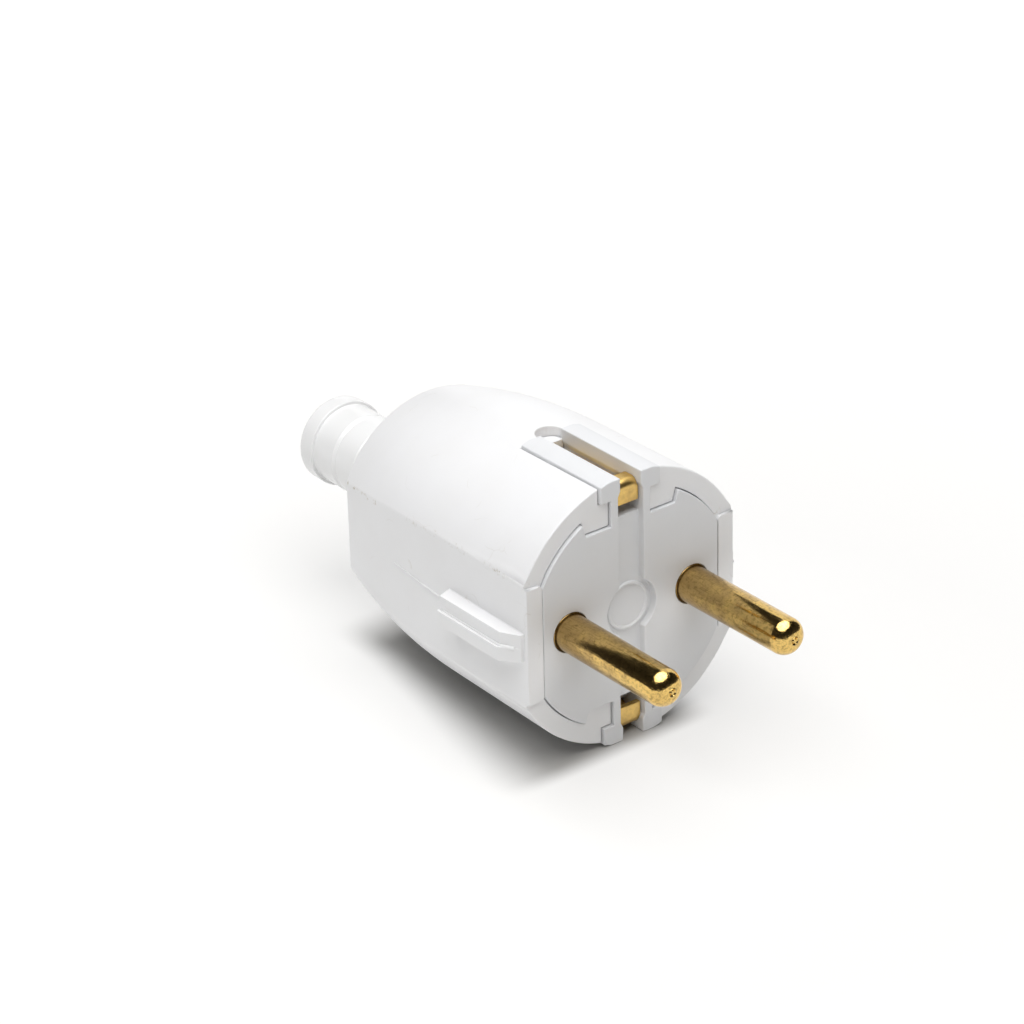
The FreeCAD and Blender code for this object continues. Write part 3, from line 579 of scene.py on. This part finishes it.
def flat_at(y):
    """Distance of a flat from the middle plane at one depth, both in millimetres."""
    lean = (FLAT_FRONT - FLAT_WAIST) / (WAIST_Y - RING_SET)
    if y <= WAIST_Y:
        return FLAT_FRONT - lean * (y - RING_SET)
    waist = Vector((FLAT_WAIST, WAIST_Y))
    chord = Vector((FLAT_END, BODY_LENGTH)) - waist
    radius = chord.length / 2 / math.sin(math.atan(-chord.x / chord.y) - math.atan(lean))
    inward = Vector((-chord.y, chord.x)).normalized()
    centre = waist + chord / 2 + inward * math.sqrt(radius ** 2 - chord.length_squared / 4)
    return centre.x + math.sqrt(radius ** 2 - (y - centre.y) ** 2)


def rail_at(y):
    """Distance of a rail's upper half from the middle plane at one depth, both in millimetres."""
    done = max(0.0, min((y - RAIL_FRONT) / (RAIL_LEAD_END - RAIL_FRONT), 1.0))
    return RAIL_LIP + (RAIL_UPPER - RAIL_LIP) * done


def bead_tree():
    """Geometry nodes that sweep a round bead along each path, as thick as the attribute "bead" says."""
    tree = bpy.data.node_groups.new("Bead Along Path", "GeometryNodeTree")
    tree.interface.new_socket("Geometry", in_out="INPUT", socket_type="NodeSocketGeometry")
    tree.interface.new_socket("Sides", in_out="INPUT", socket_type="NodeSocketInt")
    tree.interface.new_socket("Material", in_out="INPUT", socket_type="NodeSocketMaterial")
    tree.interface.new_socket("Geometry", in_out="OUTPUT", socket_type="NodeSocketGeometry")
    given = add(tree, "NodeGroupInput").outputs
    curve = add(tree, "GeometryNodeMeshToCurve", {"Mesh": given["Geometry"]})
    thick = add(tree, "GeometryNodeInputNamedAttribute", {"Name": "bead"}, data_type="FLOAT")
    ring = add(tree, "GeometryNodeCurvePrimitiveCircle", {"Resolution": given["Sides"], "Radius": 1.0})
    bead = add(tree, "GeometryNodeCurveToMesh", {
        "Curve": curve.outputs[0], "Profile Curve": ring.outputs["Curve"],
        "Scale": thick.outputs["Attribute"], "Fill Caps": True,
    })
    real = add(tree, "GeometryNodeRealizeInstances", {"Geometry": bead.outputs[0]})
    painted = add(tree, "GeometryNodeSetMaterial", {
        "Geometry": real.outputs[0], "Material": given["Material"],
    })
    add(tree, "NodeGroupOutput", {"Geometry": painted.outputs[0]})
    return tree


def give_inputs(modifier, **values):
    """Sets the inputs of a node modifier, by the identifier of each named socket."""
    for item in modifier.node_group.interface.items_tree:
        if item.in_out == "INPUT" and item.name in values:
            modifier[item.identifier] = values[item.name]


class PLUG_OT_housing(Operator):
    """Builds the outer shell with rounded edges and shaped rails"""
    bl_idname = "plug.housing"
    bl_label = "Housing"

    def execute(self, context):
        looks = context.scene.plug_looks.moulding
        material = white_moulding(SHELL_PLASTIC, looks.shell_colour, looks.dirt_colour,
                                  roughness=0.36, grain=0.25, wear=0.8)

        def radius_of(edge):
            x, y, z = edge_middle(edge)
            outside = edge.is_convex and math.hypot(x, z) > RIM_RADIUS
            if outside and abs(x) > BORDER_IN and BORDER_LOW < abs(z) < BORDER_HIGH:
                return 0.0
            if BAND_IN < abs(x) < BAND_OUT and BAND_LOW < abs(z) < BAND_HIGH and y < BAND_END:
                return 0.0
            if abs(x) > FLAT_WAIST and abs(z) < RAIL_HALF + NEAR_PLACE and y > RING_SET + NEAR_PLACE:
                on_step = abs(z) < RAIL_HALF / 2
                return looks.rail_round if edge.is_convex or on_step else looks.fine_round
            return looks.rim_round if outside and abs(y - RING_SET) < NEAR_PLACE else looks.fine_round

        shell = rounded_copy("housing_moulding", "housing", looks.rim_round, radius_of, shape_housing)
        dress(shell, material, "shell", "housing")
        return {"FINISHED"}


class PLUG_OT_mould_lines(Operator):
    """Draws the raised mould line on each flat and the flash along each rail"""
    bl_idname = "plug.mould_lines"
    bl_label = "Mould Lines"

    def execute(self, context):
        path = bpy.data.meshes.new("mould_lines")
        points, edges, radii = [], [], []
        for runs, depth_at in ((FLAT_LINE_RUNS, flat_at), (RAIL_FLASH_RUNS, rail_at)):
            for side, (begin, finish) in itertools.product((-1, 1), runs):
                for step in range(RUN_STEPS + 1):
                    y, z, radius = Vector(begin).lerp(Vector(finish), step / RUN_STEPS)
                    if step:
                        edges.append((len(points) - 1, len(points)))
                    points.append(Vector((side * depth_at(y), y, z)) * MM)
                    radii.append(radius * MM)
        path.from_pydata(points, edges, [])
        path.attributes.new("bead", "FLOAT", "POINT").data.foreach_set("value", radii)
        lines = link_object("mould_lines", path)
        sweep = lines.modifiers.new("bead", "NODES")
        sweep.node_group = bead_tree()
        give_inputs(sweep, Sides=BEAD_SIDES, Material=bpy.data.materials[SHELL_PLASTIC])
        dress(settle(lines), bpy.data.materials[SHELL_PLASTIC], "shell")
        return {"FINISHED"}


class PLUG_OT_contact_carrier(Operator):
    """Builds the inner moulding with its face, lugs and slots"""
    bl_idname = "plug.contact_carrier"
    bl_label = "Contact Carrier"

    def execute(self, context):
        looks = context.scene.plug_looks.moulding
        material = white_moulding("white polyamide, moulded matt", looks.carrier_colour, looks.dirt_colour,
                                  roughness=0.46, grain=0.4, wear=0.1)

        def radius_of(edge):
            x, y, z = edge_middle(edge)
            if y > INNER_Y:
                return 0.0
            at_pin = math.hypot(abs(x) - PIN_OFFSET, z) < PIN_RECESS
            return looks.tight_round if at_pin else looks.fine_round

        carrier = rounded_copy("carrier_moulding", "contact_carrier", looks.fine_round, radius_of)
        dress(carrier, material, "carrier", "contact_carrier")
        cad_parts["cord_clamp"].material_slots[0].material = material
        return {"FINISHED"}


class PLUG_OT_bend_sleeve(Operator):
    """Turns the ringed sleeve that the cord leaves through"""
    bl_idname = "plug.bend_sleeve"
    bl_label = "Cord Sleeve"

    def execute(self, context):
        looks = context.scene.plug_looks
        sizes = looks.sleeve
        neck = sizes.neck_radius / MM
        low = neck - sizes.ring_depth / MM
        half = sizes.ring_half / MM
        corners = [
            (SLEEVE_BORE, COLLAR_START, COLLAR_ROUND),
            (COLLAR_RADIUS, COLLAR_START, COLLAR_ROUND),
            (COLLAR_RADIUS, COLLAR_END, COLLAR_ROUND),
            (neck, COLLAR_END, NECK_ROUND),
        ]
        for ring in range(sizes.rings, 0, -1):
            middle = FLANGE_START - ring * sizes.ring_pitch / MM
            groove = ((neck, middle - half), (low, middle), (neck, middle + half))
            corners += [(radius, y, GROOVE_ROUND) for radius, y in groove]
        corners += [
            (neck, FLANGE_START, FLANGE_FOOT_ROUND),
            (FLANGE_RADIUS, FLANGE_START, FLANGE_RIM_ROUND),
            (FLANGE_RADIUS, FLANGE_END, FLANGE_END_ROUND),
            (SLEEVE_BORE, FLANGE_END, BORE_ROUND),
        ]
        material = white_moulding("soft white PVC, moulded glossy", looks.moulding.sleeve_colour,
                                  looks.moulding.dirt_colour, roughness=0.23, grain=0.12, wear=0.15)
        sleeve = lathe("sleeve_moulding", corners, sizes.segments)
        weigh_normals(sleeve)
        dress(settle(sleeve), material, "sleeve", "bend_sleeve")
        return {"FINISHED"}


class PLUG_OT_pins(Operator):
    """Turns the two pins with their domed tips and drilled terminals"""
    bl_idname = "plug.pins"
    bl_label = "Pins"

    def execute(self, context):
        looks = context.scene.plug_looks.brass
        material = handled_brass("brass, turned and handled", looks, clean=0.0, turned=0.6, marks=1.0,
                                 polish=0.1)
        mark = looks.mark_radius / MM
        deep = PIN_TIP + looks.mark_depth / MM
        for side, sign in (("left", -1), ("right", 1)):
            corners = [
                (0.0, PIN_TIP, 0.0),
                (mark - MARK_WIDTH, PIN_TIP, MARK_ROUND),
                (mark - MARK_WIDTH / 2, deep, MARK_ROUND),
                (mark, PIN_TIP, MARK_ROUND),
                (PIN_RADIUS, PIN_TIP, PIN_DOME),
                (PIN_RADIUS, 0.0, 0.0),
                (COLLAR_RING, RING_START, RING_ROUND),
                (COLLAR_RING, KNURL_START, 0.0),
                (KNURL_RADIUS, KNURL_START, STEP_ROUND),
                (KNURL_RADIUS, TERMINAL_START, 0.0),
                (TERMINAL_RADIUS, TERMINAL_START, STEP_ROUND),
                (TERMINAL_RADIUS, TERMINAL_END, TERMINAL_ROUND),
                (WIRE_HOLE, TERMINAL_END, TERMINAL_ROUND),
                (WIRE_HOLE, WIRE_HOLE_END, STEP_ROUND),
                (0.0, WIRE_HOLE_END, 0.0),
            ]
            pin = lathe(f"{side}_pin_turned", corners, looks.segments, sign * PIN_OFFSET)
            hole = upright_rod("screw_way", SCREW_HOLE, sign * PIN_OFFSET, SCREW_Y, TERMINAL_RADIUS * 2)
            drilled = pin.modifiers.new("screw hole", "BOOLEAN")
            drilled.object = hole
            drilled.solver = "MANIFOLD"
            drop_slivers(pin)
            weigh_normals(pin)
            settle(pin)
            bpy.data.objects.remove(hole)
            dress(pin, material, "brass", f"{side}_pin")
        return {"FINISHED"}


class PLUG_OT_earth_strap(Operator):
    """Builds the bent earth contact with softened edges"""
    bl_idname = "plug.earth_strap"
    bl_label = "Earth Strap"

    def execute(self, context):
        looks = context.scene.plug_looks.brass
        material = handled_brass("brass strip, rolled and bent", looks, clean=0.35, turned=0.0, marks=0.2,
                                 polish=0.28)
        strap = rounded_copy("strap_bent", "earth_strap", looks.strap_round, lambda edge: looks.strap_round)
        dress(strap, material, "brass", "earth_strap")
        return {"FINISHED"}


class PLUG_OT_screws(Operator):
    """Plates the screws and the washer inside the shell"""
    bl_idname = "plug.screws"
    bl_label = "Screws"

    def execute(self, context):
        material = zinc_plate()
        for node in ("terminal_screws", "earth_screw", "earth_washer", "cord_clamp_screws"):
            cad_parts[node].material_slots[0].material = material
        return {"FINISHED"}


class PLUG_OT_stage(Operator):
    """Sets up the floor, the light and the camera"""
    bl_idname = "plug.stage"
    bl_label = "Studio"

    def execute(self, context):
        stage = context.scene.plug_looks.stage
        lay_floor(stage)
        fill_world(context.scene, stage)
        hang_curtain()
        hang_light("overhead softbox", stage.overhead, OVERHEAD_SIZE, OVERHEAD_PLACE)
        hang_light("left softbox", stage.side, SIDE_SIZE, SIDE_PLACE).visible_glossy = False
        place_camera(context.scene, stage)
        context.scene.view_settings.view_transform = "Standard"
        return {"FINISHED"}


def seen_directly(tree):
    """Output that is 1 for rays that show a thing to the camera, straight or in gloss or glass."""
    ray = add(tree, "ShaderNodeLightPath").outputs
    mirrored = add(tree, "ShaderNodeMath", {0: ray["Is Glossy Ray"], 1: ray["Is Transmission Ray"]},
                   operation="MAXIMUM")
    shown = add(tree, "ShaderNodeMath", {0: ray["Is Camera Ray"], 1: mirrored.outputs[0]},
                operation="MAXIMUM")
    return shown.outputs[0]


def lay_floor(stage):
    """White paper under the plug. It throws back light as paper does. Seen directly or in gloss it takes a
    darker tone and a painted glow, which is absent near the plug, so the shadow there shows in full, and
    rises further out until the paper shows itself white, as the cleared ground of a catalogue picture."""
    half = FLOOR_HALF
    z = cad_box[0][2] - FLOOR_GAP
    mesh = bpy.data.meshes.new("floor")
    corners = [(-half, -half, z), (half, -half, z), (half, half, z), (-half, half, z)]
    mesh.from_pydata(corners, [], [(0, 1, 2, 3)])
    material = blank_material("white paper")
    tree = material.node_tree
    seen = seen_directly(tree)
    place = add(tree, "ShaderNodeTexCoord").outputs["Object"]
    axes = add(tree, "ShaderNodeSeparateXYZ", {"Vector": place})
    borders = [(axes.outputs[axis], near * MM, far * MM) for axis, near, far in SHADE_BORDERS]
    front, rear = SHADE_LEFT_DEPTHS
    left = []
    for at_front, at_rear in (SHADE_LEFT_STARTS, SHADE_LEFT_ENDS):
        slant = add(tree, "ShaderNodeMapRange", {
            "Value": axes.outputs["Y"], "From Min": front * MM, "From Max": rear * MM,
            "To Min": at_front * MM, "To Max": at_rear * MM,
        })
        left.append(slant.outputs[0])
    kept = 1.0
    for along, near, far in borders + [(axes.outputs["X"], *left)]:
        shade = add(tree, "ShaderNodeMapRange", {
            "Value": along, "From Min": near, "From Max": far, "To Min": 1.0, "To Max": 0.0,
        }, interpolation_type="SMOOTHSTEP")
        kept = add(tree, "ShaderNodeMath", {0: shade.outputs[0], 1: kept}, operation="MULTIPLY").outputs[0]
    # Painted glow on the paper: none where the shade is kept near the plug, the floor lift where it has
    # cleared
    cleared = add(tree, "ShaderNodeMapRange", {"Value": kept, "To Min": stage.floor_lift, "To Max": 0.0})
    away = add(tree, "ShaderNodeVectorMath", {0: place}, operation="LENGTH")
    far_lift = add(tree, "ShaderNodeMapRange", {
        "Value": away.outputs["Value"], "From Min": FAR_GROUND[0], "From Max": FAR_GROUND[1],
        "To Max": FAR_GROUND_LIFT,
    })
    shown = add(tree, "ShaderNodeMath", {0: cleared.outputs[0], 1: far_lift.outputs[0]}, operation="ADD")
    glow = add(tree, "ShaderNodeMath", {0: shown.outputs[0], 1: seen}, operation="MULTIPLY")
    # Seen directly, the paper is darker than it throws back, which deepens its shade near the plug as painted
    # shade
    tone = add(tree, "ShaderNodeMix", {"Factor": seen, 6: linear(PAPER_THROWN), 7: linear(PAPER_SEEN)},
               data_type="RGBA")
    paper = add(tree, "ShaderNodeBsdfDiffuse", {"Color": tone.outputs[2]})
    lit = add(tree, "ShaderNodeEmission", {"Color": WHITE, "Strength": glow.outputs[0]})
    both = add(tree, "ShaderNodeAddShader", {0: paper.outputs[0], 1: lit.outputs[0]})
    add(tree, "ShaderNodeOutputMaterial", {"Surface": both.outputs[0]})
    mesh.materials.append(material)
    link_object("floor", mesh)


def fill_world(scene, stage):
    """Soft light from all round, on a background that shows white."""
    world = bpy.data.worlds.new("white studio")
    world.use_nodes = True
    tree = world.node_tree
    tree.nodes.clear()
    lit = add(tree, "ShaderNodeBackground", {"Color": WHITE, "Strength": stage.ambient})
    shown = add(tree, "ShaderNodeBackground", {"Color": WHITE, "Strength": 1.0})
    mixed = add(tree, "ShaderNodeMixShader", {0: seen_directly(tree), 1: lit.outputs[0], 2: shown.outputs[0]})
    add(tree, "ShaderNodeOutputWorld", {"Surface": mixed.outputs[0]})
    scene.world = world


def hang_curtain():
    """A grey curtain round the floor, open on the right to the bright backdrop. It shows only mirrored in the
    brass and in the gloss of the plastic, as a dim room does."""
    foot = cad_box[0][2]
    low, high = [], []
    for step in range(CURTAIN_SIDES):
        turn = math.tau * step / CURTAIN_SIDES
        x, y = CURTAIN_RADIUS * math.cos(turn), CURTAIN_RADIUS * math.sin(turn)
        low.append((x, y, foot))
        high.append((x, y, foot + CURTAIN_HEIGHT))
    walls = []
    for step in range(CURTAIN_SIDES):
        after = (step + 1) % CURTAIN_SIDES
        if not CURTAIN_OPENING[0] < math.tau * (step + 0.5) / CURTAIN_SIDES < CURTAIN_OPENING[1]:
            walls.append((after, step, step + CURTAIN_SIDES, after + CURTAIN_SIDES))
    mesh = bpy.data.meshes.new("curtain")
    mesh.from_pydata(low + high, [], walls)
    material = blank_material("grey cloth")
    tree = material.node_tree
    cloth = add(tree, "ShaderNodeBsdfDiffuse", {"Color": linear(CLOTH)})
    add(tree, "ShaderNodeOutputMaterial", {"Surface": cloth.outputs[0]})
    mesh.materials.append(material)
    curtain = link_object("curtain", mesh)
    curtain.visible_camera = False
    curtain.visible_diffuse = False
    curtain.visible_shadow = False


def hang_light(name, power, size, place):
    """A round softbox aimed at the middle of the plug."""
    lamp = bpy.data.lights.new(name, "AREA")
    lamp.shape = "DISK"
    lamp.energy = power
    lamp.size = size
    light = bpy.data.objects.new(name, lamp)
    light.location = place
    light.rotation_euler = (PLUG_MIDDLE - place).to_track_quat("-Z", "Y").to_euler()
    bpy.context.scene.collection.objects.link(light)
    return light


def place_camera(scene, stage):
    """The camera at the photograph's angle."""
    back = Vector((math.sin(stage.azimuth) * math.cos(stage.elevation),
                   -math.cos(stage.azimuth) * math.cos(stage.elevation), math.sin(stage.elevation)))
    level = Vector((math.cos(stage.azimuth), math.sin(stage.azimuth), 0))
    upright = back.cross(level)
    right = level * math.cos(stage.roll) + upright * math.sin(stage.roll)
    up = upright * math.cos(stage.roll) - level * math.sin(stage.roll)
    data = bpy.data.cameras.new("camera")
    data.sensor_width = SENSOR_WIDTH
    data.lens = stage.lens
    camera = bpy.data.objects.new("camera", data)
    place = Matrix.Translation(back * stage.distance - right * stage.right - up * stage.up)
    camera.matrix_world = place @ Matrix((right, up, back)).transposed().to_4x4()
    scene.collection.objects.link(camera)
    scene.camera = camera


class PLUG_PT_looks(Panel):
    """Lists the settings and the steps that build the plug"""
    bl_idname = "PLUG_PT_looks"
    bl_label = "Plug"
    bl_space_type = "VIEW_3D"
    bl_region_type = "UI"
    bl_category = "Plug"

    def draw(self, context):
        looks = context.scene.plug_looks
        for group in (looks.moulding, looks.sleeve, looks.brass, looks.stage):
            box = self.layout.box()
            for name in group.__annotations__:
                box.prop(group, name)
        for step in STEPS:
            self.layout.operator(step.bl_idname)


STEPS = (
    PLUG_OT_housing,
    PLUG_OT_mould_lines,
    PLUG_OT_contact_carrier,
    PLUG_OT_bend_sleeve,
    PLUG_OT_pins,
    PLUG_OT_earth_strap,
    PLUG_OT_screws,
    PLUG_OT_stage,
)
SETTINGS = (MouldingSettings, SleeveSettings, BrassSettings, StageSettings, PlugSettings)
CLASSES = (*SETTINGS, *STEPS, PLUG_PT_looks)


def register():
    """Adds the settings, the steps and the panel to Blender."""
    for item in CLASSES:
        bpy.utils.register_class(item)
    bpy.types.Scene.plug_looks = PointerProperty(type=PlugSettings)


def unregister():
    """Takes the settings, the steps and the panel out again."""
    del bpy.types.Scene.plug_looks
    for item in reversed(CLASSES):
        bpy.utils.unregister_class(item)


def main():
    """Builds the plug step by step."""
    register()
    bpy.ops.plug.housing()
    bpy.ops.plug.mould_lines()
    bpy.ops.plug.contact_carrier()
    bpy.ops.plug.bend_sleeve()
    bpy.ops.plug.pins()
    bpy.ops.plug.earth_strap()
    bpy.ops.plug.screws()
    bpy.ops.plug.stage()


if __name__ == "__main__":
    main()
